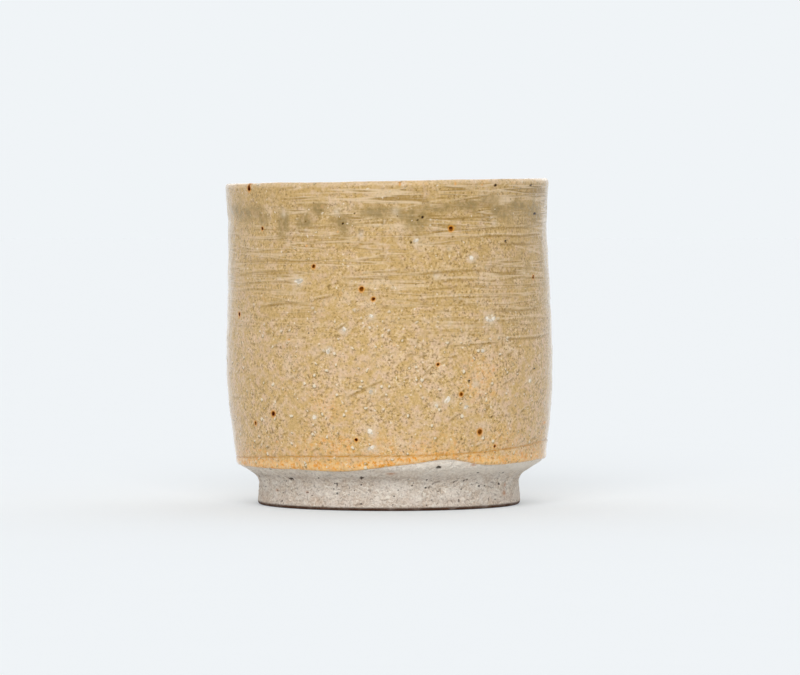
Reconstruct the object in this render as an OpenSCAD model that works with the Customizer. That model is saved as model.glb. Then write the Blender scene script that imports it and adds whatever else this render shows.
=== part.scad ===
// Yunomi: a tea cup without a handle, thrown in gritty stoneware.
// The body sits on a luted foot ring and leans a little; an ash glaze coats it inside and out,
// and a second coat covers the lip. Feldspar stones and iron specks from the clay show through.
// Millimetres, +Z up, the front faces -Y, origin at the centre of the standing ring.

/* [Body] */
// Height of the cup over the glazed lip
cup_h = 79; // [66:0.5:96]
// Diameter over the glaze at the belly, the widest place
belly_d = 80; // [70:0.2:94]
// How far the lip stands in from the belly, on each side
lip_inset = 0.4; // [0:0.1:4]
// How far the neck, the slight hollow under the lip, stands in from the belly, under the second coat
neck_inset = 1; // [0:0.1:5]
// How far the shoulder, where the wall turns in towards the foot, stands in from the belly
shoulder_inset = 2.2; // [0.4:0.1:4]
// How far the neck lies below the top of the lip
neck_drop = 8; // [6:0.5:14]
// Length over which the lip's outer edge is rounded
lip_round = 0.5; // [0.3:0.1:0.8]
// Share of the wall's thickness over which the lip's inner edge is rounded
lip_inner_share = 0.45; // [0.2:0.05:0.6]
// How far the top of the lip falls towards the inside
lip_fall = 1; // [0.2:0.1:1.6]
// Height of the belly above the table
belly_h = 35; // [25:0.5:45]
// Height of the shoulder's corner above the table
shoulder_h = 10.3; // [8:0.1:14]
// Length of wall over which the shoulder's corner is rounded
shoulder_round = 0.9; // [0.4:0.1:2.4]
// Slope of the turned cone between shoulder and foot, from level
cone_angle = 31; // [22:1:44]
// Height of the body's underside above the table, inside the foot ring
underside_h = 5.4; // [4.8:0.1:7]
// Thickness of the clay wall
wall_t = 3.2; // [2.2:0.1:5]
// Thickness of the clay floor
floor_t = 5; // [3:0.1:8]
// Radius of the hollow between wall and floor inside
well_r = 10; // [4:0.5:18]
// Angle by which the body leans over its foot, seen from the front
lean = 0.9; // [0:0.1:2]

/* [Foot ring] */
// How far the foot ring's outside stands in from the shoulder, at the table
foot_inset = 5.6; // [4.2:0.1:8]
// How far the ring's outer wall leans in towards the body
foot_batter = 0.3; // [0:0.1:1.2]
// Width of the foot ring
foot_w = 5.4; // [3:0.2:8]
// How far the ring's inner wall overhangs towards its top
foot_overhang = 0.5; // [0:0.1:1.5]
// Length over which the ring's lower edges are rounded
foot_round = 1; // [0.3:0.1:1.4]

/* [Glaze] */
// Thickness of the glaze coat
glaze_t = 0.5; // [0.3:0.05:0.8]
// Thickness of the second coat over the lip
dip_t = 0.3; // [0.2:0.05:0.6]
// Thickness that the second coat thins to at its lower edges
dip_edge_t = 0.1; // [0.05:0.05:0.2]
// How far the second coat reaches down the outside
dip_outside = 10; // [6:0.5:20]
// How far the second coat reaches down the inside
dip_inside = 8; // [6:0.5:20]
// How far the outer glaze reaches down the cone, below the shoulder's rounded corner
glaze_wrap = 0.5; // [0.2:0.1:3]

/* [Grains] */
// Diameter of the largest feldspar stone
stone_d = 2.4; // [1.6:0.1:2.8]
// Diameter of the largest iron speck
speck_d = 1.4; // [1:0.1:1.8]
// How far a feldspar stone stands out of the glaze
stone_proud = 0.25; // [0.1:0.05:0.4]
// How far an iron speck stands out of the glaze
speck_proud = 0.1; // [0.05:0.05:0.2]

/* [Hidden] */
$fn = 180;
grain_sides = 7;

// Steps along each stretch of the body's outline
bend_steps = 4;
wall_steps = 14;
rim_steps = 6;
well_steps = 8;

// Stations of the clay under its coats
rim_coats_t = glaze_t + dip_t;
neck_h = cup_h - neck_drop;
lip_way = [-wall_t, -lip_fall] / norm([wall_t, lip_fall]);
lip_edge_drop = lip_round * -lip_way[1];
lip_h = cup_h - rim_coats_t + lip_round * lip_edge_drop / (lip_round + lip_edge_drop);
dip_out_h = cup_h - dip_outside;
dip_in_h = cup_h - dip_inside;
floor_h = underside_h + floor_t;
well_h = floor_h + well_r;
glazed_r = belly_d / 2;
shoulder_r = glazed_r - shoulder_inset - glaze_t;
belly_r = glazed_r - glaze_t;
neck_r = glazed_r - neck_inset - glaze_t;
lip_r = glazed_r - lip_inset - rim_coats_t;
foot_r = glazed_r - shoulder_inset - foot_inset;
cone_run = (shoulder_h - underside_h) / tan(cone_angle);
lean_pivot_h = (shoulder_h + cup_h) / 2;

// Places of the grains that show from the front, each as seen there: share of the cup's radius
// across, share of the wall's height from shoulder to neck, share of the largest diameter.
stone_front_shares = [
    [-0.55, 0.74, 0.90], [-0.10, 0.60, 0.55], [-0.27, 0.55, 0.62], [0.18, 0.89, 0.65],
    [0.51, 0.82, 0.55], [0.61, 0.58, 1.00], [-0.36, 0.47, 0.65], [-0.11, 0.31, 0.60],
    [-0.46, 0.21, 0.52], [-0.12, 0.15, 0.72], [-0.12, 0.09, 0.60], [0.35, 0.27, 0.75],
    [0.28, 0.25, 0.55], [0.46, 0.24, 0.52], [0.56, 0.46, 0.52], [0.85, 0.33, 0.60]
];
speck_front_shares = [
    [-0.84, 1.11, 0.90], [-0.77, 0.95, 0.60], [-0.45, 0.80, 0.65], [-0.16, 0.71, 0.80],
    [-0.09, 0.67, 0.65], [-0.91, 0.61, 0.80], [0.39, 0.94, 0.85], [0.89, 0.74, 0.65],
    [-0.71, 0.22, 0.90], [-0.83, 0.18, 0.65], [0.55, 0.14, 0.95], [0.29, 0.41, 0.55],
    [0.43, 0.29, 0.65], [-0.21, 0.12, 0.55], [0.65, 0.08, 0.55]
];

// The grains on the other side are spread by the golden section between two turns of the cup
golden_share = 0.618;
back_from_angle = 8;
back_to_angle = 172;
stone_back_count = 14;
speck_back_count = 12;
stone_back_shares = [0.05, 0.9];
speck_back_shares = [0.08, 0.93];
speck_turn_share = 0.27;
back_size_shares = [0.5, 0.95];
back_size_step_share = 0.37;

// Radius of the clay's outside at height z: a quarter wave from shoulder to belly, a half wave
// from belly to neck and a quarter wave out to the lip
function wall_r(z) =
    z < belly_h ? shoulder_r + (belly_r - shoulder_r) * sin(90 * (z - shoulder_h) / (belly_h - shoulder_h))
  : z < neck_h ? belly_r + (neck_r - belly_r) * (1 - cos(180 * (z - belly_h) / (neck_h - belly_h))) / 2
  : neck_r + (lip_r - neck_r) * (1 - cos(90 * (z - neck_h) / (lip_h - neck_h)));

// Points from a to b on a curve that is drawn towards the corner c
function bend(a, c, b, steps) =
    [for (i = [0:steps]) let (t = i / steps) (1 - t) * (1 - t) * a + 2 * t * (1 - t) * c + t * t * b];

// Points of an arc about c, from one angle to another
function arc(c, r, from, to, steps) =
    [for (i = [0:steps]) let (a = from + (to - from) * i / steps) c + r * [cos(a), sin(a)]];

// Points of the wall between two heights, set in by a thickness
function wall_points(from, to, inset, steps) =
    [for (i = [0:steps]) let (z = from + (to - from) * i / steps) [wall_r(z) - inset, z]];

// A list without its first point, and a list backwards
function rest(list) = [for (i = [1:len(list) - 1]) list[i]];
function backwards(list) = [for (i = [len(list) - 1:-1:0]) list[i]];
function part_of(list, from, to) = [for (i = [from:to]) list[i]];

// The clay's surface under the glaze, from the glaze line on the cone, up the outside, over the
// lip and down to the middle of the floor
corner = [shoulder_r, shoulder_h];
cone_way = [cos(cone_angle), sin(cone_angle)];
lip_edge = [wall_r(lip_h), lip_h];
lip_inner_edge = lip_edge - [wall_t, lip_fall];
lip_inner_round = lip_inner_share * wall_t;
lip_inner_low = lip_inner_edge[1] - lip_inner_round;
well_mid = [wall_r(well_h) - wall_t - well_r, well_h];
outside_low = concat(
    [corner - (shoulder_round + glaze_wrap) * cone_way],
    bend(corner - shoulder_round * cone_way, corner,
         [wall_r(shoulder_h + shoulder_round), shoulder_h + shoulder_round], bend_steps),
    rest(wall_points(shoulder_h + shoulder_round, dip_out_h, 0, wall_steps)));
outside_rim = concat(
    rest(wall_points(dip_out_h, lip_h - lip_round, 0, rim_steps)),
    rest(bend([wall_r(lip_h - lip_round), lip_h - lip_round], lip_edge,
              lip_edge + lip_round * lip_way, bend_steps)));
inside_rim = concat(
    bend(lip_inner_edge - lip_inner_round * lip_way, lip_inner_edge,
         [wall_r(lip_inner_low) - wall_t, lip_inner_low], bend_steps),
    rest(wall_points(lip_inner_low, dip_in_h, wall_t, rim_steps)));
inside_low = concat(
    rest(wall_points(dip_in_h, well_h, wall_t, wall_steps)),
    rest(arc(well_mid, well_r, 0, -90, well_steps)),
    [[0, floor_h]]);
clay_path = concat(outside_low, outside_rim, inside_rim, inside_low);
dip_start = len(outside_low) - 1;
lip_top = dip_start + len(outside_rim);
dip_end = lip_top + len(inside_rim);
path_end = len(clay_path) - 1;

// Unit vector that points away from the clay at point i of the path
function away(i) =
    let (way = clay_path[min(i + 1, path_end)] - clay_path[max(i - 1, 0)])
    [way[1], -way[0]] / norm(way);

// The path raised off the clay by a thickness
function raised(thickness) = [for (i = [0:path_end]) clay_path[i] + thickness * away(i)];

// Thickness of the second coat at height z, over a lower edge
function dip_at(z, edge_h) = dip_edge_t + (dip_t - dip_edge_t) * (z - edge_h) / (lip_h - edge_h);

// The path raised by both coats
function dipped() =
    [for (i = [0:path_end])
        let (z = clay_path[i][1])
        clay_path[i] + (glaze_t + dip_at(z, i < lip_top ? dip_out_h : dip_in_h)) * away(i)];

// A coat on the clay between two points of the path, from its underside's points to its top's
module coat(under, over, from, to) {
    rotate_extrude()
        polygon(concat(part_of(under, from, to), backwards(part_of(over, from, to))));
}

// The body and all that is fixed to it lean about the middle of the wall
module leaning() {
    translate([0, 0, lean_pivot_h]) rotate([0, -lean, 0]) translate([0, 0, -lean_pivot_h]) children();
}

// Outline of the body's underside, from the axis out along the cone to the glaze line
underside = [[0, underside_h], [shoulder_r - cone_run, underside_h]];

// The body filled to its lip, which the foot ring is shaped against
module body_envelope() {
    rotate_extrude()
        polygon(concat(underside, part_of(clay_path, 0, lip_top), [[0, lip_h]]));
}

// One blocky grain seated in the wall, as deep as it is wide and turned by its own place:
// angle about the axis, height share, diameter, how far it stands out
module grain(angle, up_share, d, proud) {
    z = shoulder_h + up_share * (neck_h - shoulder_h);
    surface_r = wall_r(z) + glaze_t + (z > dip_out_h ? dip_at(z, dip_out_h) : 0);
    rotate([0, 0, angle]) translate([surface_r + proud - d, 0, z])
        rotate([0, 90, 0]) rotate(angle) cylinder(d = d, h = d, $fn = grain_sides);
}

// Grains at the places of a front table
module front_grains(shares, d, proud) {
    for (s = shares) grain(asin(s[0]) - 90, s[1], s[2] * d, proud);
}

// Grains spread over the back, from low to high
module back_grains(count, turn_share, up_shares, d, proud) {
    for (i = [0:count - 1]) {
        turn = i * golden_share + turn_share;
        size = i * back_size_step_share;
        grain(back_from_angle + (back_to_angle - back_from_angle) * (turn - floor(turn)),
              up_shares[0] + (up_shares[1] - up_shares[0]) * i / (count - 1),
              d * (back_size_shares[0] + (back_size_shares[1] - back_size_shares[0]) * (size - floor(size))),
              proud);
    }
}

module all_stones() {
    front_grains(stone_front_shares, stone_d, stone_proud);
    back_grains(stone_back_count, 0, stone_back_shares, stone_d, stone_proud);
}

module all_specks() {
    front_grains(speck_front_shares, speck_d, speck_proud);
    back_grains(speck_back_count, speck_turn_share, speck_back_shares, speck_d, speck_proud);
}

// A layer with the pockets that its grains sit in
module pocketed() {
    difference() {
        children();
        all_stones();
        all_specks();
    }
}

// The thrown clay: wall, floor and turned cone in one piece
module clay_body() {
    color("darkkhaki") leaning() pocketed()
        rotate_extrude() polygon(concat(underside, clay_path));
}

// The luted ring that the cup stands on, shaped to the leaning body's underside
module foot_ring() {
    inner_r = foot_r - foot_w;
    blank_h = shoulder_h;
    outer_way = [-foot_batter, underside_h] / underside_h;
    inner_way = [-foot_overhang, underside_h] / underside_h;
    outer_foot = [foot_r, 0];
    inner_foot = [inner_r, 0];
    color("silver") difference() {
        rotate_extrude()
            polygon(concat(
                bend(inner_foot + foot_round * inner_way, inner_foot,
                     inner_foot + [foot_round, 0], bend_steps),
                bend(outer_foot - [foot_round, 0], outer_foot,
                     outer_foot + foot_round * outer_way, bend_steps),
                [outer_foot + blank_h * outer_way, inner_foot + blank_h * inner_way]));
        leaning() body_envelope();
    }
}

// The glaze on the outside, from the cone over the shoulder to the top of the lip
module outer_glaze() {
    color("burlywood") leaning() pocketed() coat(clay_path, raised(glaze_t), 0, lip_top);
}

// The glaze on the inside, from the top of the lip to the middle of the floor
module inner_glaze() {
    color("burlywood") leaning() coat(clay_path, raised(glaze_t), lip_top, path_end);
}

// The second coat, which laps over both others at the lip
module rim_glaze() {
    color("tan") leaning() pocketed() coat(raised(glaze_t), dipped(), dip_start, dip_end);
}

// Feldspar stones that broke through the glaze
module feldspar_stones() {
    color("white") leaning() all_stones();
}

// Iron grains that melted through the glaze
module iron_specks() {
    color("saddlebrown") leaning() all_specks();
}

clay_body();
foot_ring();
outer_glaze();
inner_glaze();
rim_glaze();
feldspar_stones();
iron_specks();
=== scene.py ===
# A yunomi: a tea cup without a handle, in stoneware with an ash glaze. The sections follow its making:
# thrown body, foot ring, glaze outside and inside, second coat on the lip, then the stones and the
# iron of the clay that broke through. Metres, +Z up; the angle round the cup is 0 at the front, -Y.
import math

import bpy
import numpy as np
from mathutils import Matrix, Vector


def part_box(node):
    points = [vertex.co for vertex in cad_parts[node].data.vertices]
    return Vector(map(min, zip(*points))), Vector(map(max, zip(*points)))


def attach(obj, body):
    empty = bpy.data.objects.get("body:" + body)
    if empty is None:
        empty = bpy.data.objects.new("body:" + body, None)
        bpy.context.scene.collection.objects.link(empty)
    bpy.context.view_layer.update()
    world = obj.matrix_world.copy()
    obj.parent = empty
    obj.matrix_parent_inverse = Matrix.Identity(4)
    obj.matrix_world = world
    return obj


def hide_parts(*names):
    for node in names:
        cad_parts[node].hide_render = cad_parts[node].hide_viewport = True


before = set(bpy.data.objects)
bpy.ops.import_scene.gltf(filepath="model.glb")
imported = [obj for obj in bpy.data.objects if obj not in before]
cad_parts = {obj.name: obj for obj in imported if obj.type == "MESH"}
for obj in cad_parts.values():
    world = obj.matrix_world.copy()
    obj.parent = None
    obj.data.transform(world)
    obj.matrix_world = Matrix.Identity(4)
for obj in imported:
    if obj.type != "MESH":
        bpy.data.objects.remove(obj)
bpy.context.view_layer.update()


# Clay body
# The wall and floor, thrown in one lump of gritty grey stoneware, leaning a little over the foot.
# The cone under the shoulder was turned on the wheel and stays bare, and so does the underside.
mm = 0.001
full_turn = 2 * math.pi
columns = 396
front_crowding = 0.35
cup_height = 79 * mm
lip_coats_thick = 0.8 * mm
wall_thick = 3.2 * mm
underside_height = 5.4 * mm
floor_height = 10.4 * mm
well_radius = 10 * mm
shoulder_height = 10.3 * mm
shoulder_round = 0.9 * mm
shoulder_inset = 2.2 * mm
belly_height = 35 * mm
neck_height = 71 * mm
neck_inset = 1.0 * mm
lip_inset = 0.7 * mm
lip_round = 0.5 * mm
lip_inner_round = 1.44 * mm
lip_fall = 1.0 * mm
lip_slope = math.atan2(lip_fall, wall_thick)
lip_run, lip_dip = math.cos(lip_slope), math.sin(lip_slope)
lip_height = cup_height - lip_coats_thick + lip_round * lip_dip / (1 + lip_dip)
belly_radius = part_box("clay_body")[1][1]
shoulder_radius = belly_radius - shoulder_inset
neck_radius = belly_radius - neck_inset
lip_radius = belly_radius - lip_inset
cone_slope = math.radians(31)
cone_run, cone_rise = math.cos(cone_slope), math.sin(cone_slope)
cone_length = (shoulder_height - underside_height) / cone_rise
lean = math.radians(0.9)
lean_pivot = (shoulder_height + cup_height) / 2
around = full_turn * np.arange(columns) / columns
around = np.where(around > math.pi, around - full_turn, around)
around = around - front_crowding * np.sin(around)
level = np.zeros(columns)


def ramp(value, start, length):
    """0 up to a start, 1 from a length beyond it, and straight between."""
    return np.clip((value - start) / length, 0, 1)


def wall_radius(height):
    """Outside of the clay: a quarter wave from shoulder to belly, a half wave from there to the neck
    and a quarter wave out to the lip."""
    low = np.clip((height - shoulder_height) / (belly_height - shoulder_height), -1, 1)
    middle = ramp(height, belly_height, neck_height - belly_height)
    high = ramp(height, neck_height, lip_height - neck_height)
    return (
        shoulder_radius
        + (belly_radius - shoulder_radius) * np.sin(math.pi / 2 * low)
        + (neck_radius - belly_radius) * (1 - np.cos(math.pi * middle)) / 2
        + (lip_radius - neck_radius) * (1 - np.cos(math.pi / 2 * high))
    )


def clay_outline(way):
    """Radius and height of the clay's outside at a distance from the shoulder's corner: straight down
    the cone below zero, up the wall above it, and a parabola that rounds the corner between."""
    t = ramp(way, -shoulder_round, 2 * shoulder_round)
    start, corner, end = (1 - t) ** 2, 2 * t * (1 - t), t**2
    bend_radius = (
        start * (shoulder_radius - shoulder_round * cone_run)
        + corner * shoulder_radius
        + end * wall_radius(shoulder_height + shoulder_round)
    )
    bend_height = shoulder_height + shoulder_round * (end - start * cone_rise)
    on_cone, on_wall = way < -shoulder_round, way > shoulder_round
    radius = np.where(on_cone, shoulder_radius + way * cone_run, bend_radius)
    height = np.where(on_cone, shoulder_height + way * cone_rise, bend_height)
    return (
        np.where(on_wall, wall_radius(shoulder_height + way), radius),
        np.where(on_wall, shoulder_height + way, height),
    )


def blank(angle, height):
    """Zeros over the whole grid of angles and heights."""
    return np.zeros(np.broadcast(angle, height).shape)


def waves(angle, height, seed, count, shortest, longest):
    """Unevenness of about -1 to 1: a sum of cosine waves of seeded lengths and directions, longer ones
    higher, each with a whole number of waves round the cup so that it closes."""
    random = np.random.default_rng(seed)
    total, power = blank(angle, height), 0.0
    for _ in range(count):
        length = shortest * (longest / shortest) ** random.random()
        direction, phase = random.uniform(0, math.pi), random.uniform(0, full_turn)
        turns = round(full_turn * belly_radius * math.cos(direction) / length)
        rise = full_turn * math.sin(direction) / length
        total += length * np.cos(turns * angle + rise * height + phase)
        power += length**2
    return total / math.sqrt(2 * power)


def bow(start, corner, end, steps):
    """Rows of a parabola from start to end that is drawn towards a corner. Each is (radius, height)."""
    t = np.linspace(0, 1, steps)[:, None]
    return tuple((1 - t) ** 2 * a + 2 * t * (1 - t) * c + t**2 * b for a, c, b in zip(start, corner, end))


def raised(radius, height, lift):
    """An outline moved off itself along its normal, which lies to the right of its way up."""
    way_radius, way_height = np.gradient(radius, axis=0), np.gradient(height, axis=0)
    length = np.hypot(way_radius, way_height)
    return radius + lift * way_height / length, height - lift * way_radius / length


def joined(*outlines):
    """Outlines set one after another. Each is (radius, height)."""
    return [np.concatenate(rows) for rows in zip(*outlines)]


def hump(distance, width=1.0):
    """Bell curve, 1 at no distance."""
    return np.exp(-((distance / width) ** 2))


def off(angle, place):
    """Shorter way round from a place to each angle."""
    return (angle - place + math.pi) % full_turn - math.pi


def away(angle, height, place, middle, wide, tall, radius):
    """Way from an oval spot's middle to each point of the surface, in half widths and half heights."""
    return np.hypot(off(angle, place) * radius / wide, (height - middle) / tall)


def rightward(angle):
    """How far a place lies to the right, from 0 in the middle to 1 at the side."""
    return np.clip(np.sin(angle), 0, 1)


def leaned(x, z, angle=lean):
    """Places turned about the lean's pivot, as seen from the front."""
    up = z - lean_pivot
    across = x * math.cos(angle) - up * math.sin(angle)
    return across, lean_pivot + x * math.sin(angle) + up * math.cos(angle)


def formed(name, points, faces):
    """A smooth piece at the origin, from its points and the faces between them."""
    mesh = bpy.data.meshes.new(name)
    mesh.from_pydata(points.tolist(), [], faces)
    mesh.shade_smooth()
    piece = bpy.data.objects.new(name, mesh)
    bpy.context.scene.collection.objects.link(piece)
    return piece


def turned(name, radius, height, ring, leaning=True):
    """A piece shaped on the wheel: rows follow its outline, outside up and then inside down, and
    columns go round. A ring's rows close on themselves, and any other outline ends on the axis."""
    x, y, z = radius * np.sin(around), -radius * np.cos(around), np.broadcast_to(height, radius.shape)
    if leaning:
        x, z = leaned(x, z)
    points = np.stack([x, y, z], axis=-1)
    rows = len(points)
    if ring:
        points = points.reshape(-1, 3)
        index = np.arange(rows * columns).reshape(rows, columns)
        low, high = index, np.roll(index, -1, axis=0)
    else:
        last = 1 + (rows - 2) * columns
        points = np.concatenate([points[0, :1], points[1:-1].reshape(-1, 3), points[-1, :1]])
        index = np.arange(1, last).reshape(rows - 2, columns)
        low, high = index[:-1], index[1:]
    quads = np.stack([low, np.roll(low, -1, axis=1), np.roll(high, -1, axis=1), high], axis=-1)
    faces = quads.reshape(-1, 4).tolist()
    if not ring:
        first, final = index[0], index[-1]
        faces += np.stack([np.zeros(columns, int), np.roll(first, -1), first], axis=-1).tolist()
        faces += np.stack([final, np.roll(final, -1), np.full(columns, last)], axis=-1).tolist()
    return formed(name, points, faces)


def mark(piece, **marks):
    """Stores numbers on the vertices, which the piece's material reads as attributes."""
    for name, values in marks.items():
        if len(piece.data.vertices) != values.size:
            values = np.concatenate([values[0, :1], values[1:-1].ravel(), values[-1, :1]])
        stored = piece.data.attributes.new(name, "FLOAT", "POINT")
        stored.data.foreach_set("value", values.ravel().astype(np.float32))


# Pits and pulled grains in the bare clay: (angle, height, width, depth).
clay_pits = [
    (-65, 7.7, 1.1, 0.3), (-46, 7.4, 1.5, 0.3), (-31, 7.8, 0.9, 0.25), (-12, 8.1, 1.0, 0.3),
    (16, 7.4, 0.5, 0.2), (16, 5.5, 0.6, 0.25), (29, 6.7, 0.5, 0.2), (34, 6.9, 0.5, 0.2),
    (43, 5.5, 0.7, 0.2), (57, 5.7, 0.8, 0.35), (18, 10.3, 1.1, 0.6), (-58, 4.1, 0.5, 0.2),
    (-38, 4.1, 0.5, 0.2), (-12, 6.2, 0.5, 0.2), (-54, 1.7, 0.6, 0.2), (-12, 1.7, 0.6, 0.2),
    (22, 4.6, 0.4, 0.15), (4, 5.0, 0.4, 0.15), (-24, 6.4, 0.4, 0.15), (37, 8.6, 0.5, 0.2),
]
# Rust stains in the bare clay: (angle, height, half width, half height).
clay_stains = [
    (62, 5.4, 0.5, 0.5), (61, 3.4, 0.7, 0.7), (0, 9.1, 0.9, 0.25), (-58, 4.2, 0.6, 0.3),
    (-38, 4.2, 0.4, 0.3), (32, 10.8, 0.6, 0.4), (140, 4.5, 0.8, 0.5), (-130, 6.0, 0.6, 0.8),
    (-165, 2.5, 0.9, 0.4),
]
seeded_pits = 110
pit_ripple_up, pit_ripple_round = 5e3, 170
bare_mean_radius = 0.85 * shoulder_radius
cut_pitch, cut_depth, grit_height = 1.4 * mm, 0.06 * mm, 0.045 * mm
joint_height, joint_fade = 8.1 * mm, 0.8 * mm
painted_shade_height, painted_shade_reach = 7.8 * mm, 1.1 * mm
wash_low, wash_rise = 7.4 * mm, 1.6 * mm
blush_height, blush_reach = 1.8 * mm, 1.6 * mm


def pitted(angle, height):
    """Depth of the pits in the bare clay, and how much each place is pitted, from 0 to 1. Those seen
    from the front come first and seeded ones fill the rest of the turn."""
    random = np.random.default_rng(41)
    depth, share = blank(angle, height), blank(angle, height)
    pits = [(math.radians(a), z * mm, w * mm, d * mm) for a, z, w, d in clay_pits]
    for _ in range(seeded_pits):
        place, middle = random.uniform(-math.pi, math.pi), random.uniform(-14, 11) * mm
        pits.append((place, middle, random.uniform(0.25, 0.55) * mm, random.uniform(0.08, 0.25) * mm))
    for place, middle, width, deep in pits:
        aside, up = off(angle, place), height - middle
        ripple = 1 + 0.3 * np.sin(pit_ripple_up * up + pit_ripple_round * aside)
        pit = hump(np.hypot(aside * bare_mean_radius, up * 1.4), width / 2 * ripple)
        depth += deep * pit
        share = np.maximum(share, pit)
    return depth, share


def stained(angle, height):
    """How rusty the bare clay is, from 0 to 1: a faint blush low on the foot, and the stains."""
    cloud = waves(angle, height, 10, 40, 3 * mm, 18 * mm)
    share = 0.1 * hump(height - blush_height, blush_reach) * (1 + 0.6 * cloud)
    for place, middle, wide, tall in clay_stains:
        spot = math.radians(place), middle * mm, wide * mm, tall * mm
        share = np.maximum(share, hump(away(angle, height, *spot, bare_mean_radius)))
    return share


def bare_relief(angle, height):
    """Height of the bare clay over its smooth shape: a spiral of shallow turning cuts, grit and pits.
    It stays below zero, so that the cup keeps its size, and dies away where foot and cone meet."""
    cuts = np.cos(full_turn * height / cut_pitch + angle)
    grit = waves(angle, height, 3, 70, 1.2 * mm, 6 * mm)
    rough = cut_depth * (cuts - 1) / 2 + grit_height * np.minimum(grit - 1.2, 0) - pitted(angle, height)[0]
    return rough * (1 - hump(height - joint_height, joint_fade))


# Painted shade: the hollow under the cone is darkened in colour, less so on the right.
def painted_cone_shade(angle, height):
    """How much painted shade darkens the hollow under the cone, from 0 to 1, less of it on the right."""
    cloud = waves(angle, height, 9, 40, 2 * mm, 12 * mm)
    return (0.14 - 0.06 * rightward(angle)) * hump(height - painted_shade_height, painted_shade_reach) * (1 + 0.4 * cloud)


def washed(angle, height):
    """How pale the cone is, from 0 to 1: a wash from the wet finger, and painted light that makes it palest
    on the right.
    """
    return (0.3 + 0.45 * rightward(angle)) * ramp(height, wash_low, wash_rise)


def inside_outline(wall_rows, well_rows, floor_rows):
    """Radius and height of the clay's inside: down the wall, round the well in a quarter circle and
    level to the axis."""
    wall = np.linspace(lip_inner_low, floor_height + well_radius, wall_rows)
    turn = np.linspace(0, math.pi / 2, well_rows)[1:]
    well_middle = wall_radius(wall[-1]) - wall_thick - well_radius
    flat = np.linspace(well_middle, 0, floor_rows)[1:]
    return [
        rows[:, None]
        for rows in joined(
            (wall_radius(wall) - wall_thick, wall),
            (well_middle + well_radius * np.cos(turn), floor_height + well_radius * (1 - np.sin(turn))),
            (flat, np.full(len(flat), floor_height)),
        )
    ]


lip_inner_edge = (lip_radius - wall_thick, lip_height - lip_fall)
lip_start = lip_height - lip_round
lip_inner_low = lip_inner_edge[1] - lip_inner_round
lip_rows = 12
lip_outer_bow = bow(
    (wall_radius(lip_start), lip_start),
    (lip_radius, lip_height),
    (lip_radius - lip_round * lip_run, lip_height - lip_round * lip_dip),
    lip_rows,
)
lip_inner_bow = bow(
    (lip_inner_edge[0] + lip_inner_round * lip_run, lip_inner_edge[1] + lip_inner_round * lip_dip),
    lip_inner_edge,
    (wall_radius(lip_inner_low) - wall_thick, lip_inner_low),
    lip_rows,
)
underside_rows = 40
bare_wall = 2.6 * mm
bare_way = np.concatenate([
    np.linspace(-cone_length, -shoulder_round, 40),
    np.linspace(-shoulder_round, bare_wall, 24)[1:],
    np.linspace(bare_wall, lip_start - shoulder_height, 16)[1:],
])[:, None]
bare_radius, bare_height = clay_outline(bare_way)
underside_radius = np.linspace(0, bare_radius[0], underside_rows)[:-1]
outline_radius, outline_height = joined(
    (underside_radius, np.full_like(underside_radius, underside_height)),
    (bare_radius, bare_height),
    [rows[1:] for rows in lip_outer_bow],
    lip_inner_bow,
    [rows[1:] for rows in inside_outline(14, 8, 2)],
)
coat_fade, coat_seat = 2 * mm, 0.12 * mm
bay_drop, bay_rise = 0.1 * mm, 0.3 * mm
below = outline_height < floor_height
within = outline_radius < shoulder_radius - wall_thick
bare_along = outline_height + below * np.minimum(outline_radius - bare_radius[0], 0)
under_glaze = np.where(within, 1, ramp(outline_height, shoulder_height + coat_fade, coat_fade))
under_glaze = np.where(below, 0, under_glaze)
clay_relief = (1 - under_glaze) * bare_relief(around, bare_along) - coat_seat * under_glaze
clay_relief[[0, -1]] = 0
clay_body = turned("clay_body_thrown", *raised(outline_radius, outline_height, clay_relief), ring=False)
bare_bay = 0.55 * ramp(bare_along + level, shoulder_height - bay_drop, bay_rise)
# The cone carries painted shade in its hollow, and painted light that pales its right side.
mark(
    clay_body,
    pitted=pitted(around, bare_along)[1],
    stained=stained(around, bare_along),
    toasted=painted_cone_shade(around, bare_along),
    washed=np.maximum(washed(around, bare_along), bare_bay),
)


def add(tree, kind, settings=(), **inputs):
    """A shader node: settings are its properties, and inputs its sockets, each a value or a link."""
    made = tree.nodes.new("ShaderNode" + kind)
    for key, value in settings:
        setattr(made, key, value)
    for key, value in inputs.items():
        socket = made.inputs[int(key[1:]) if key[0] == "_" else key.replace("_", " ")]
        if isinstance(value, bpy.types.NodeSocket):
            tree.links.new(value, socket)
        else:
            socket.default_value = value
    return made


def sums(tree, operation, first, second=0.0, third=0.0, clamp=False):
    """Arithmetic on two values, or on three where the operation takes them."""
    settings = [("operation", operation), ("use_clamp", clamp)]
    return add(tree, "Math", settings, _0=first, _1=second, _2=third).outputs[0]


def times(tree, first, second, clamp=False):
    """Product of two values."""
    return sums(tree, "MULTIPLY", first, second, clamp=clamp)


def plus(tree, rest, value, share=1.0, clamp=False):
    """A share of a value on top of the rest."""
    return sums(tree, "MULTIPLY_ADD", value, share, rest, clamp)


def between(tree, value, low, high, start=0.0, end=1.0):
    """A value's place between two limits, eased at both, as a number from start to end."""
    made = add(tree, "MapRange", [("interpolation_type", "SMOOTHSTEP")], Value=value)
    for key, limit in (("From Min", low), ("From Max", high), ("To Min", start), ("To Max", end)):
        made.inputs[key].default_value = limit
    return made.outputs["Result"]


def layered(tree, colour, layers):
    """Colours laid one over another. A layer is its share, from 0 to 1, and its colour."""
    for share, over in layers:
        colour = add(tree, "Mix", [("data_type", "RGBA")], _0=share, _6=colour, _7=over).outputs[2]
    return colour


def object_places(tree):
    """Places on the piece in its own frame."""
    return add(tree, "TexCoord").outputs["Object"]


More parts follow.
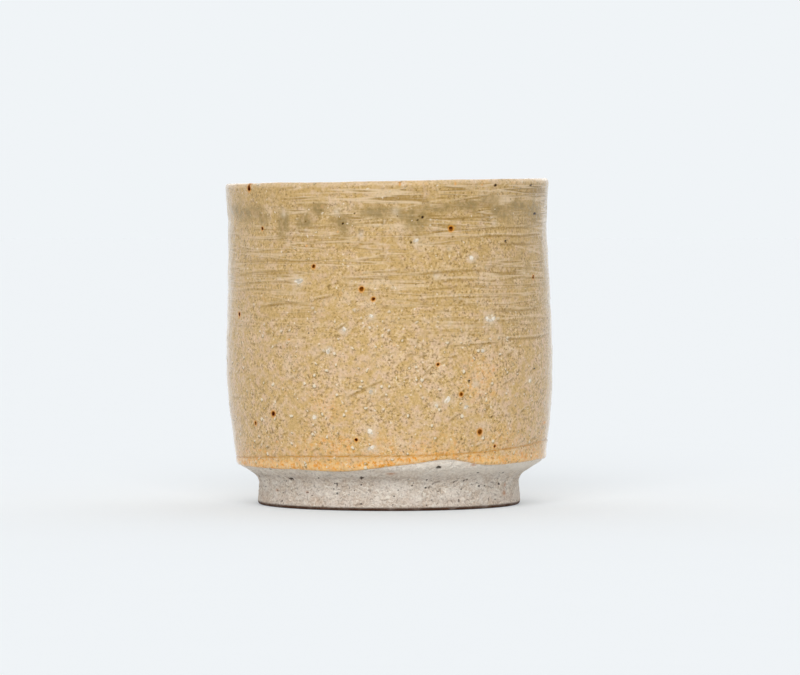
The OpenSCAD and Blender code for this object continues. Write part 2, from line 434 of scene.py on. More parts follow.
def moved(tree, where, *by):
    """The same coordinates moved along, so that two patterns don't fall together: by one length all
    three ways, or by three."""
    return add(tree, "Mapping", Vector=where, Location=by * (3 // len(by))).outputs["Vector"]


def stretched(tree, where, scale, turn=(0, 0, 0)):
    """Coordinates turned and then scaled in each way by its own factor."""
    return add(tree, "Mapping", Vector=where, Rotation=turn, Scale=scale).outputs["Vector"]


def warped(tree, where, scale, reach):
    """Coordinates that a noise pushes about, so that round dots get uneven outlines."""
    noise = add(tree, "TexNoise", Vector=where, Scale=scale, Detail=2.0).outputs["Color"]
    push = add(tree, "VectorMath", [("operation", "SUBTRACT")], _0=noise, _1=(0.5, 0.5, 0.5)).outputs[0]
    reaches = (reach, reach, reach)
    made = add(tree, "VectorMath", [("operation", "MULTIPLY_ADD")], _0=push, _1=reaches, _2=where)
    return made.outputs[0]


def speckle(tree, where, scale, size, kept):
    """Scattered round dots: the middles of random cells, of which a share is kept, each with its own
    size. Sizes are shares of a cell."""
    cells = add(tree, "TexVoronoi", Vector=where, Scale=scale)
    chance = add(tree, "SeparateColor", Color=cells.outputs["Color"])
    reach = plus(tree, 0.3 * size, chance.outputs[1], 0.7 * size)
    near = sums(tree, "SUBTRACT", 1.0, sums(tree, "DIVIDE", cells.outputs["Distance"], reach), clamp=True)
    drawn = sums(tree, "LESS_THAN", chance.outputs[0], kept)
    return times(tree, between(tree, near, 0.0, 0.5), drawn)


def grain(tree, where, scale, detail=3.0, roughness=0.6):
    """Soft cloudy noise of about 0.3 to 0.7."""
    made = add(tree, "TexNoise", Vector=where, Scale=scale, Detail=detail, Roughness=roughness)
    return made.outputs["Fac"]


def trait(tree, name):
    """A number stored on the piece's vertices."""
    return add(tree, "Attribute", [("attribute_name", name)]).outputs["Fac"]


def opaque(name, gloss):
    """A new material with one shader, and a plain specular level."""
    material = bpy.data.materials.new(name)
    material.use_nodes = True
    shader = material.node_tree.nodes["Principled BSDF"]
    shader.inputs["Specular IOR Level"].default_value = gloss
    return material, material.node_tree, shader


def surfaced(tree, shader, colour, roughness, height, strength, distance):
    """Gives the shader its colour and roughness, and fine relief from a height."""
    normal = add(tree, "Bump", Strength=strength, Distance=distance, Height=height).outputs["Normal"]
    for socket, value in (("Base Color", colour), ("Roughness", roughness), ("Normal", normal)):
        tree.links.new(value, shader.inputs[socket])


clay_grey = (0.78, 0.70, 0.62, 1)
clay_shade = (0.65, 0.535, 0.43, 1)
clay_grit_white = (0.91, 0.84, 0.74, 1)
clay_smear = (0.30, 0.25, 0.20, 1)
clay_iron = (0.06, 0.042, 0.03, 1)
clay_rust = (0.52, 0.20, 0.055, 1)
# Colour of the toasted standing edge, also used for painted contact shadow and painted shade under the
# cone.
clay_toast_and_shade = (0.075, 0.028, 0.011, 1)
clay_relief_depth = 0.5 * mm
bare_clay, tree, shader = opaque("bare_clay", gloss=0.25)
where = object_places(tree)
uneven = warped(tree, where, scale=900, reach=1.6 * mm)
cloud = between(tree, grain(tree, where, 300, 5.0, 0.65), 0.36, 0.64)
sand = grain(tree, where, 1900, detail=2.0)
# Grit that the turning tool dragged: noise drawn out round the cup.
dashes = grain(tree, stretched(tree, uneven, (620, 620, 1900)), 1.0, roughness=0.65)
white_grit = speckle(tree, uneven, scale=720, size=0.4, kept=0.65)
white_dust = speckle(tree, moved(tree, uneven, 0.37), scale=1000, size=0.4, kept=0.6)
iron_grit = speckle(tree, moved(tree, uneven, 0.71), scale=420, size=0.2, kept=0.22)
colour = layered(tree, clay_shade, [
    (cloud, clay_grey),
    (between(tree, sand, 0.5, 0.64, end=0.6), clay_grit_white),
    (between(tree, sand, 0.47, 0.33, end=0.35), clay_smear),
    (between(tree, dashes, 0.56, 0.63), clay_grit_white),
    (between(tree, dashes, 0.41, 0.35, end=0.75), clay_smear),
    (times(tree, white_grit, 0.75), clay_grit_white),
    (times(tree, white_dust, 0.75), clay_grit_white),
    # Pale clay from the wet finger's wash and above the shoulder's crease, with painted light on the right
    # of the cone.
    (trait(tree, "washed"), clay_grit_white),
    (times(tree, iron_grit, 0.75), clay_iron),
    (times(tree, trait(tree, "stained"), 0.7), clay_rust),
    (between(tree, trait(tree, "pitted"), 0.2, 0.55, end=0.95), clay_iron),
    # Painted shade under the cone, and the toasted standing edge with painted contact shadow over it.
    (trait(tree, "toasted"), clay_toast_and_shade),
])
roughness = between(tree, cloud, 0.0, 1.0, 0.95, 0.8)
grit = plus(tree, plus(tree, times(tree, sand, 0.8), cloud, 0.4), dashes)
grit = sums(tree, "SUBTRACT", plus(tree, grit, white_grit, 0.4), iron_grit)
surfaced(tree, shader, colour, roughness, grit, 1.0, clay_relief_depth)
clay_body.data.materials.append(bare_clay)
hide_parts("clay_body")
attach(clay_body, "root")


# Foot ring
# The ring that the cup stands on, luted to the underside in the same clay and smoothed into the cone
# with a wet finger. Its edges are rounded, and the standing edge was toasted brown in the kiln, with
# painted contact shadow that darkens it further. Painted shade darkens the top of the ring under the cone.
foot_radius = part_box("foot_ring")[1][1]
foot_width = 5.4 * mm
foot_batter = 0.3 * mm
foot_overhang = 0.5 * mm
foot_round = 1.0 * mm
foot_relief_start = 1.2 * mm
cove = 1.9 * mm
seat = 0.02 * mm
dark_edge_height, dark_edge_fade = 0.6 * mm, 0.25 * mm
dark_edge_inset, dark_edge_rise = 1.8 * mm, 1.3 * mm


def cone_height(radius):
    """Height of the leaning cone over the level foot, at each radius and angle."""
    shift = (lean_pivot - shoulder_height) * math.sin(lean)
    rise = (radius - shift * np.sin(around) - shoulder_radius) * math.tan(cone_slope)
    return np.maximum(shoulder_height + rise, underside_height) + radius * np.sin(around) * math.sin(lean)


def straight(start, end, steps):
    """Rows of a straight stretch, without its two ends."""
    t = np.linspace(0, 1, steps + 2)[1:-1, None]
    return tuple((1 - t) * a + t * b for a, b in zip(start, end))


outer_foot, inner_foot = foot_radius + level, foot_radius - foot_width + level
outer_stand, inner_stand = outer_foot - foot_round, inner_foot + foot_round
outer_top, inner_top = outer_foot - foot_batter, inner_foot - foot_overhang
rounded = foot_round + level
meeting = cone_height(outer_top) + seat
cove_start = (outer_top, meeting - cove)
cove_end = (outer_top + cove, cone_height(outer_top + cove) + seat)
seat_end = (inner_top, cone_height(inner_top) + seat)
foot_r, foot_h = joined(
    bow((outer_stand, level), (outer_foot, level), (outer_foot, rounded), 9),
    straight((outer_foot, rounded), cove_start, 26),
    bow(cove_start, (outer_top, meeting), cove_end, 18),
    straight(cove_end, seat_end, 5),
    straight(seat_end, (inner_foot, rounded), 14),
    bow((inner_foot, rounded), (inner_foot, level), (inner_stand, level), 9),
    straight((inner_stand, level), (outer_stand, level), 8),
)
foot_relief = ramp(foot_h, 0, foot_relief_start) * bare_relief(around, foot_h)
foot_ring = turned("foot_ring_luted", *raised(foot_r, foot_h, foot_relief), ring=True, leaning=False)
# The standing edge is toasted brown and darkened further with painted contact shadow, most on its outer
# side.
outermost = 0.25 + 0.72 * ramp(foot_r, foot_radius - dark_edge_inset, dark_edge_rise)
dark_edge_waves = waves(around, foot_r, 8, 60, 1.4 * mm, 9 * mm)
toast_and_contact_shade = hump(np.maximum(foot_h - dark_edge_height, 0), dark_edge_fade) * (outermost + 0.1 * dark_edge_waves)
inside = foot_r < foot_radius - foot_width / 2
from_edge = np.where(inside | (foot_h < foot_round), foot_radius - foot_r, 0)
foot_along = np.where(inside, -foot_h, foot_h) - from_edge
mark(
    foot_ring,
    pitted=pitted(around, foot_along)[1],
    stained=stained(around, foot_h),
    # Toasting with painted contact shadow at the standing edge, and painted shade under the cone.
    toasted=np.clip(toast_and_contact_shade + painted_cone_shade(around, foot_h), 0, 1),
    # Painted light pales the right of the ring's top, over the wet finger's wash.
    washed=washed(around, foot_h),
)
foot_ring.data.materials.append(bare_clay)
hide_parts("foot_ring")
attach(foot_ring, "root")


# Outer glaze
# A satin ash glaze that the cup was dipped in, from the cone to the lip. It is thin and drags over
# the throwing marks, breaks to orange at its lower edge, and goes olive where it pooled.
def grains_of(node):
    """Angle, height on the wall, outermost radius and diameter of each block of a CAD node: its loose
    triangles are joined by their corners, and each joined group is one block."""
    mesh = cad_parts[node].data
    points = np.empty(len(mesh.vertices) * 3)
    mesh.vertices.foreach_get("co", points)
    corners = np.empty(len(mesh.loops), int)
    mesh.loops.foreach_get("vertex_index", corners)
    keys, same = np.unique(np.round(points.reshape(-1, 3), 6), axis=0, return_inverse=True)
    triangles = same.ravel()[corners].reshape(-1, 3)
    label = np.arange(len(keys))
    for _ in range(12):
        lowest = label[triangles].min(axis=1)
        for side in range(3):
            np.minimum.at(label, triangles[:, side], lowest)
    x, z = leaned(keys[:, 0], keys[:, 2], -lean)
    upright = np.stack([x, keys[:, 1], z])
    found = []
    for block in np.unique(label):
        x, y, z = upright[:, label == block]
        angle = math.atan2(x.mean(), -y.mean())
        reach = x * math.sin(angle) - y * math.cos(angle)
        found.append((angle, (z.min() + z.max()) / 2, reach.max(), reach.max() - reach.min()))
    return np.array(found)


stones = grains_of("feldspar_stones")
specks = grains_of("iron_specks")

# Drag marks in the glaze as seen from the front: start and end (across, height), groove and ridge.
drag_marks = [
    (1.4, 71.6, 13.0, 73.9, 0.04, 0.10), (12.0, 73.8, 25.0, 75.5, 0.05, 0.08),
    (17.0, 67.2, 36.6, 68.1, 0.13, 0.07), (13.4, 65.5, 36.6, 65.8, 0.12, 0.09),
    (25.4, 63.8, 33.8, 63.6, 0.10, 0.02), (28.0, 63.3, 32.2, 62.2, 0.02, 0.13),
    (31.8, 62.3, 36.9, 60.4, 0.03, 0.13), (26.6, 58.6, 35.0, 57.6, 0.03, 0.10),
    (4.6, 56.9, 23.0, 57.4, 0.13, 0.05), (9.8, 55.2, 26.6, 55.2, 0.07, 0.10),
    (26.0, 55.2, 36.6, 55.9, 0.07, 0.10), (19.4, 54.3, 25.9, 53.8, 0.04, 0.10),
    (4.6, 53.1, 17.0, 53.3, 0.11, 0.03), (-1.0, 52.4, 14.6, 52.4, 0.04, 0.09),
    (-1.0, 50.4, 31.4, 51.6, 0.05, 0.09), (24.2, 47.8, 36.2, 47.9, 0.11, 0.02),
    (25.4, 45.7, 38.0, 45.7, 0.05, 0.09), (13.4, 43.5, 21.8, 44.2, 0.03, 0.09),
    (13.9, 39.4, 26.8, 40.6, 0.10, 0.13), (26.4, 40.6, 38.3, 41.9, 0.11, 0.13),
    (4.6, 41.1, 8.6, 37.8, 0.05, 0.15), (7.7, 32.3, 10.5, 35.0, 0.13, 0.10),
    (10.3, 34.9, 13.9, 36.3, 0.05, 0.15), (-23.8, 67.6, 2.6, 69.1, 0.10, 0.06),
    (-32.2, 59.3, -11.8, 60.5, 0.12, 0.05), (-35.8, 56.2, -21.4, 57.8, 0.09, 0.07),
    (-31.4, 48.8, -18.6, 50.0, 0.15, 0.09), (-19.0, 50.0, -12.6, 51.5, 0.14, 0.09),
    (-10.6, 55.7, 0.4, 55.9, 0.13, 0.05), (-18.2, 36.1, -15.1, 38.5, 0.18, 0.06),
    (-10.3, 27.7, -4.6, 29.9, 0.15, 0.10), (-4.8, 29.8, -2.0, 31.0, 0.11, 0.08),
    (-28.6, 39.2, -25.9, 39.5, 0.20, 0.02), (-37.9, 26.7, -34.0, 26.5, 0.06, 0.09),
    (-37.0, 52.4, -24.0, 53.0, 0.08, 0.06), (-36.0, 54.0, -28.0, 54.3, 0.08, 0.03),
    (-23.8, 72.9, -10.6, 73.6, 0.03, 0.08),
]
# Olive pools under the lip as seen from the front: middle (across, height), half width and half height.
olive_pools = [
    (-36.6, 72.0, 1.4, 1.4), (-34.3, 70.8, 2.0, 1.7), (-31.0, 71.4, 1.5, 1.7), (-29.5, 69.8, 1.2, 1.4),
    (-24.7, 68.6, 1.7, 2.9), (-19.4, 69.3, 2.2, 1.9), (-16.4, 72.4, 2.6, 1.5), (-10.8, 68.8, 2.4, 2.7),
    (-2.6, 71.5, 4.8, 1.7), (6.2, 70.0, 3.4, 2.9), (12.2, 72.4, 4.8, 1.1), (18.2, 73.2, 3.4, 1.4),
    (23.5, 74.1, 2.9, 1.4), (26.6, 71.7, 2.4, 1.7), (31.2, 73.1, 2.4, 1.2), (34.4, 71.5, 2.0, 2.0),
]
# Orange patches on the wall, given as the pools are, and how orange each is.
orange_patches = [(22, 31, 5, 6, 0.3), (-14, 24, 7, 5, 0.15), (28, 14, 8, 5, 0.4), (-10, 16, 12, 3, 0.4)]
# Milky patches as seen from the front: middle (across, height) and half width.
milky_patches = [
    (-24.7, 71.0, 0.9), (-12.2, 71.7, 1.1), (1.7, 71.7, 1.0), (25.0, 68.8, 0.9), (14.4, 62.6, 0.7),
    (11.0, 56.2, 1.0), (14.4, 45.2, 0.8), (-25.9, 55.5, 0.6), (20.6, 30.5, 0.9), (-6.6, 66.2, 0.8),
]
# Burst bubbles in the glaze, dark inside, given as the milky patches are.
burst_bubbles = [
    (7.0, 70.5, 0.17), (7.9, 70.3, 0.28), (6.7, 69.6, 0.15), (34.8, 71.0, 0.3), (-19.4, 69.3, 0.18),
    (-10.8, 68.8, 0.22), (5.3, 64.3, 0.17), (27.6, 64.5, 0.22), (12.7, 32.3, 0.14), (19.0, 31.3, 0.17),
    (24.5, 22.5, 0.19), (34.8, 33.7, 0.17), (25.0, 77.9, 0.28), (33.6, 77.9, 0.22), (-8.1, 71.2, 0.17),
]
# Rusty dots too small to be grains of their own, given in the same way.
rust_dots = [
    (19.7, 36.1, 0.35), (37.4, 20.3, 0.5), (2.6, 78.0, 0.35), (15.6, 78.1, 0.3), (21.8, 78.0, 0.3),
    (-8.2, 14.6, 0.4), (-23.5, 41.0, 0.35), (-26.4, 16.5, 0.35), (-30.5, 14.2, 0.4), (-12.0, 66.8, 0.3),
    (-19.4, 63.4, 0.35),
]
# Laps and bays of the glaze's lower edge: (rise, angle, half width as an angle).
edge_bays = [(-0.65, -20, 13), (1.95, 21.5, 12), (0.85, 5, 14), (0.55, 72, 20), (0.9, 155, 16)]
edge_drop = 0.3
glaze_thick = 0.5 * mm
second_coat_low = 69 * mm
level_drags, slanting_tears, seeded_pools = 210, 240, 26
full_drag = 0.1 * mm
throwing_pitch, throwing_height = 8.5 * mm, 0.05 * mm
broad_height, fine_height = 0.09 * mm, 0.03 * mm
pool_height, groove_depth = 0.1 * mm, 0.2 * mm
groove_width, groove_line_width = 0.22 * mm, 0.17 * mm
groove_lip_drop, groove_lip_width = 0.45 * mm, 0.35 * mm
highest_relief = 0.12 * mm


def seen(across, height):
    """Angle and height on the leaning wall of a place given as it is seen from the front."""
    up = height - lean_pivot
    upright = across + up * math.sin(lean)
    return np.arcsin(np.clip(upright / wall_radius(height), -1, 1)), height - across * math.sin(lean)


def glaze_edge(angle):
    """Where the glaze ends, as a distance from the shoulder's corner: a little down the cone, with its
    laps and bays and a fine ripple."""
    edge = 0.14 * waves(angle, 0.0, 21, 24, 4 * mm, 22 * mm) - edge_drop
    for rise, place, half in edge_bays:
        edge = edge + rise * hump(off(angle, math.radians(place)), math.radians(half))
    return edge * mm


def turning_groove(angle, height):
    """Cross distance from the groove that the turning tool left above the shoulder: a cubic curve of
    the way across, rising to the right."""
    aside = np.sin(angle)
    rise = 3.2 - 0.17 * aside + 0.35 * aside**2 + 1.73 * aside**3
    return height - shoulder_height - rise * mm


def second_coat_edge(angle):
    """Height of the wavy lower edge of the second coat."""
    return second_coat_low + 0.7 * mm * waves(angle, 0.0, 51, 30, 5 * mm, 30 * mm)


def dragged(angle, height):
    """Relief of the drag marks, and their colour from -1 in a groove to 1 on a ridge. A mark is a
    groove along a slightly bent line with a ridge pushed up above it, fading at both ends. After the
    marks seen from the front come seeded ones: long level ones high up, short slanting tears below."""
    random = np.random.default_rng(17)
    marks = []
    for x1, z1, x2, z2, groove, ridge in drag_marks:
        (a1, h1), (a2, h2) = seen(x1 * mm, z1 * mm), seen(x2 * mm, z2 * mm)
        half, slope = abs(a2 - a1) / 2, (h2 - h1) / (a2 - a1)
        marks.append(((a1 + a2) / 2, (h1 + h2) / 2, half, slope, groove * mm, ridge * mm))
    for _ in range(level_drags):
        middle = (38 + 33 * random.random() ** 0.8) * mm
        half, slope = math.radians(random.uniform(3, 15)), random.uniform(-0.2, 2.0) * mm
        place, groove = random.uniform(-math.pi, math.pi), random.uniform(0.02, 0.08) * mm
        groove *= 0.35 if abs(place) < math.radians(85) else 1
        marks.append((place, middle, half, slope, groove, groove * random.uniform(0.3, 1.2)))
    for _ in range(slanting_tears):
        middle, slant = random.uniform(14, 46) * mm, math.radians(random.uniform(12, 42))
        half = random.uniform(0.4, 1.5) * mm * math.cos(slant) / belly_radius
        groove, ridge = random.uniform(0.05, 0.15) * mm, random.uniform(0.05, 0.14) * mm
        place, slope = random.uniform(-math.pi, math.pi), math.tan(slant) * belly_radius
        marks.append((place, middle, half, slope, groove, ridge))
    angle, height = np.broadcast_arrays(angle, height)
    relief, colour = np.zeros(angle.shape), np.zeros(angle.shape)
    for place, middle, half, slope, groove, ridge in marks:
        bend, turns, phase = random.uniform(0.1, 0.3) * mm, random.uniform(6, 16), random.uniform(0, 6)
        width = random.uniform(0.18, 0.3) * mm * math.hypot(1, slope / belly_radius)
        along = off(angle, place)
        near = np.abs(along) < 1.08 * half
        along = along[near]
        across = height[near] - middle - slope * along - bend * np.sin(along * turns + phase)
        fade = np.clip(1.15 - (along / half) ** 2, 0, 1)
        low, high = fade * hump(across, 1.2 * width), fade * hump(across - 1.8 * width, 0.9 * width)
        relief[near] += ridge * high - groove * low
        colour[near] += min(ridge / full_drag, 1) * high - min(groove / full_drag, 1) * low
    return relief, np.clip(colour, -1, 1)


def pooled(angle, height):
    """How thick and olive the glaze is, from 0 to 1: soft blots along the lower edge of the second
    coat, those at the back seeded, a faint band there, and a shade on the right side."""
    random = np.random.default_rng(29)
    pools = []
    for across, middle, wide, tall in olive_pools:
        place, middle = seen(across * mm, middle * mm)
        pools.append((place, middle, wide * mm / max(math.cos(place), 0.35), tall * mm))
    for _ in range(seeded_pools):
        place = random.uniform(math.radians(88), math.radians(272))
        middle = (70.4 + 1.4 * random.standard_normal()) * mm
        pools.append((place, middle, random.uniform(1.4, 5) * mm, random.uniform(1.0, 2.4) * mm))
    share = blank(angle, height)
    wobble = 1 + 0.3 * waves(angle, height, 30, 40, 1.2 * mm, 6 * mm)
    for pool in pools:
        share = np.maximum(share, 1.25 * hump(away(angle, height, *pool, neck_radius) * wobble))
    band = 0.03 * hump(height - neck_height, 3.4 * mm)
    side = 0.22 * hump(off(angle, math.radians(68)), math.radians(28)) * ramp(height, 24 * mm, 24 * mm)
    return np.clip(share + (band + side) * (1 + waves(angle, height, 31, 40, 2 * mm, 14 * mm)), 0, 1)


def flushed(angle, height):
    """How orange the glaze broke, from 0 to 1: most along its lower edge and up to the turning groove,
    less above it, and in some patches on the wall."""
    way = np.maximum(height - shoulder_height - glaze_edge(angle), 0)
    cloud = waves(angle, height, 33, 50, 2 * mm, 16 * mm)
    edge = np.clip(1.5 * hump(way, 2.7 * mm), 0, 1) * (0.95 + 0.25 * cloud - 0.25 * rightward(angle))
    share = np.maximum(edge, 0.5 * hump(way, 5.0 * mm) * (1 + 0.6 * cloud))
    for across, middle, wide, tall, most in orange_patches:
        spot = *seen(across * mm, middle * mm), wide * mm, tall * mm
        patch = hump(away(angle, height, *spot, belly_radius))
        share = np.maximum(share, most * patch * (1 + 0.7 * cloud))
    return np.clip(share, 0, 1)


def dotted(angle, height, dots):
    """Round dots, each 1 in its middle, from a list of (across, height, half width)."""
    share = blank(angle, height)
    for across, middle, wide in dots:
        place, middle = seen(across * mm, middle * mm)
        spot = place, middle, wide * mm, wide * mm
        share = np.maximum(share, hump(away(angle, height, *spot, belly_radius * math.cos(place))))
    return share


def rusted(angle, height):
    """How brown the iron made the glaze, from 0 to 1: in the rusty dots, and round each speck with a
    short run below it."""
    share = 0.36 * dotted(angle, height, rust_dots)
    for place, middle, _, width in specks:
        up = height - middle
        run = np.where(up < 0, up * 0.8, up)
        share = np.maximum(share, hump(np.hypot(off(angle, place) * belly_radius, run), 0.54 * width))
    return share


def milky(angle, height):
    """How white the feldspar made the glaze, from 0 to 1: round each stone, and over stones beneath it."""
    spots = [(*seen(x * mm, z * mm), wide * mm, 0.8) for x, z, wide in milky_patches]
    spots += [(place, middle, 0.72 * width, 0.9) for place, middle, _, width in stones]
    share = blank(angle, height)
    for place, middle, wide, most in spots:
        patch = hump(away(angle, height, place, middle, wide, wide, belly_radius))
        share = np.maximum(share, most * patch)
    return share


def glaze_relief(angle, height):
    """Height of the glaze over its mean thickness: throwing waves, unevenness, drag marks, pools and
    the turning groove. It stays at or below zero, so that the cup keeps its size."""
    throwing = throwing_height * np.cos(full_turn * height / throwing_pitch - angle)
    broad = broad_height * waves(angle, height, 5, 40, 7 * mm, 34 * mm)
    fine = fine_height * waves(angle, height, 6, 80, 1.6 * mm, 5 * mm)
    groove = turning_groove(angle, height)
    groove_lip = 0.5 * hump(groove + groove_lip_drop, groove_lip_width)
    cut = groove_depth * (groove_lip - hump(groove, groove_width))
    pools = pool_height * pooled(angle, height)
    total = throwing + broad + fine + dragged(angle, height)[0] + pools + cut
    return np.minimum(total - highest_relief, 0)


glaze_rows, under_rows = 236, 12
edge_crowding = 0.015
edge_roll, edge_tuck = 0.9 * mm, 0.25 * mm
bead_place, bead_width = 1.1 * mm, 0.7 * mm
cover_depth, cover_start, cover_fade = 0.12 * mm, 0.3 * mm, 2 * mm
under_lift = 0.3 * mm
high_start, high_rise = 34 * mm, 22 * mm
edge = glaze_edge(around)
top_way = lip_start - shoulder_height
rise = np.linspace(0, 1, glaze_rows)[:, None]
rise = (1 - edge_crowding) * rise + edge_crowding * rise**0.35
glaze_way = edge + (top_way - edge) * rise
glaze_r, glaze_h = clay_outline(glaze_way)
roll = ramp(glaze_way, edge, edge_roll)
bead = 1 + 0.2 * hump(glaze_way - edge - bead_place, bead_width)
thick = glaze_thick * np.sqrt(1 - (1 - roll) ** 2) * bead
covered = cover_depth * ramp(glaze_h, second_coat_edge(around) + cover_start, cover_fade)
glaze_lift = thick - edge_tuck * (1 - roll) ** 2 - covered
glaze_lift = glaze_lift + np.clip(roll * 1.2 - 0.2, 0, 1) * glaze_relief(around, glaze_h)
under_way = edge + (top_way - edge) * np.linspace(1, 0, under_rows)[:, None]
under_r, under_h = clay_outline(under_way)
outer_outline = joined(raised(glaze_r, glaze_h, glaze_lift), raised(under_r, under_h, under_lift))
outer_glaze = turned("outer_glaze_dipped", *outer_outline, ring=True)
all_h = np.concatenate([glaze_h, under_h])
groove_line = hump(turning_groove(around, all_h), groove_line_width)
streaked = 1 + 0.5 * rightward(around)
mark(
    outer_glaze,
    pooled=pooled(around, all_h),
    flushed=flushed(around, all_h),
    rusted=np.maximum(rusted(around, all_h), 0.32 * groove_line),
    dragged=np.clip(streaked * dragged(around, all_h)[1], -1, 1) - groove_line,
    burst=dotted(around, all_h, burst_bubbles),
    milky=milky(around, all_h),
    upper=streaked * ramp(all_h, high_start, high_rise),
)

glaze_cream = (0.745, 0.52, 0.33, 1)
glaze_ochre = (0.65, 0.425, 0.164, 1)
glaze_pale = (0.86, 0.66, 0.40, 1)
glaze_smear = (0.78, 0.585, 0.40, 1)
glaze_fleck_and_shadow = (0.25, 0.145, 0.034, 1)
glaze_groove = (0.33, 0.19, 0.035, 1)
glaze_ridge = (0.80, 0.61, 0.39, 1)
glaze_olive = (0.345, 0.235, 0.088, 1)
glaze_orange = (1.0, 0.60, 0.23, 1)
glaze_bright = (0.84, 0.32, 0.012, 1)
glaze_rust = (0.22, 0.066, 0.0, 1)
glaze_pit = (0.03, 0.008, 0.0, 1)
glaze_white_and_glint = (0.90, 0.79, 0.61, 1)
glaze_milk = (0.74, 0.60, 0.43, 1)
glaze_gloss = 0.35
glaze_relief_depth = 0.6 * mm
glaze_marks = ("Pooled", "Flushed", "Rusted", "Dragged", "Milky", "Burst", "Upper")
ash_glaze = bpy.data.node_groups.new("ash glaze", "ShaderNodeTree")
sockets = [(name, "INPUT", "Float") for name in glaze_marks] + [("Colour", "OUTPUT", "Color")]
sockets += [(name, "OUTPUT", "Float") for name in ("Roughness", "Height", "Gloss")]
for name, side, kind in sockets:
    ash_glaze.interface.new_socket(name, in_out=side, socket_type="NodeSocket" + kind)
tree = ash_glaze
given = tree.nodes.new("NodeGroupInput").outputs
put_out = tree.nodes.new("NodeGroupOutput").inputs
where = object_places(tree)
uneven = warped(tree, where, scale=1100, reach=1.2 * mm)
cloud = grain(tree, where, 85, detail=4.0)
mottle = grain(tree, where, 520)
sand = grain(tree, moved(tree, where, 0.23), 1700, roughness=0.7)
flecks = between(tree, grain(tree, moved(tree, uneven, 0.91), 800), 0.41, 0.32)
bright = between(tree, grain(tree, moved(tree, uneven, 0.53), 900, roughness=0.7), 0.47, 0.62)
smear = between(tree, grain(tree, moved(tree, where, 0.13), 230, 5.0, 0.65), 0.53, 0.66, end=0.5)
# Fine drag lines: thin contours of a noise that is stretched round the cup, in patches, mostly high up.
strands = stretched(tree, where, (40, 40, 800), turn=(0, math.radians(2), 0))
strands = grain(tree, strands, 1.0, detail=1.5, roughness=0.5)
patches = times(tree, between(tree, grain(tree, where, 60, detail=2.0), 0.38, 0.54), given["Upper"])
pale_apart, dark_apart = [
    sums(tree, "ABSOLUTE", sums(tree, "SUBTRACT", strands, contour)) for contour in (0.5, 0.555)
]
pale_line = times(tree, between(tree, pale_apart, 0.06, 0.0), patches)
dark_line = times(tree, between(tree, dark_apart, 0.06, 0.0), patches)
thin_there = between(tree, given["Pooled"], 0.2, 0.8, 1.0, 0.15)
ridge = sums(tree, "MAXIMUM", given["Dragged"], times(tree, pale_line, 0.8), clamp=True)
groove = times(tree, given["Dragged"], -1.0)
groove = sums(tree, "MAXIMUM", groove, times(tree, dark_line, 0.65), clamp=True)
ridge, groove = times(tree, ridge, thin_there), times(tree, groove, thin_there)
# Dots in the glaze. A painted shadow lies beside each white dot, and a painted glint on each bubble.
white_dots = speckle(tree, uneven, scale=540, size=0.29, kept=0.65)
dot_shades = speckle(tree, moved(tree, uneven, -0.12 * mm, 0.0, 0.28 * mm), scale=540, size=0.34, kept=0.65)
white_dust = speckle(tree, moved(tree, uneven, 0.31), scale=620, size=0.22, kept=0.6)
bubbles = speckle(tree, moved(tree, uneven, 0.17), scale=360, size=0.25, kept=0.5)
glints = speckle(tree, moved(tree, uneven, 0.17008, 0.17, 0.16992), scale=360, size=0.13, kept=0.5)
pinholes = speckle(tree, moved(tree, uneven, 0.43), scale=600, size=0.2, kept=0.6)
pits = speckle(tree, moved(tree, uneven, 0.67), scale=160, size=0.06, kept=0.3)
orange_dots = speckle(tree, moved(tree, uneven, 0.59), scale=420, size=0.3, kept=0.5)
# Where the glaze is sandy, less so where it is thick, high or orange, with painted light and shade that
# make the grit a little stronger on the right.
grit_and_side_light = between(tree, grain(tree, moved(tree, where, 0.79), 170), 0.4, 0.6, 0.6, 1.1)
grit_and_side_light = times(tree, grit_and_side_light, between(tree, given["Pooled"], 0.3, 0.9, 1.0, 0.3))
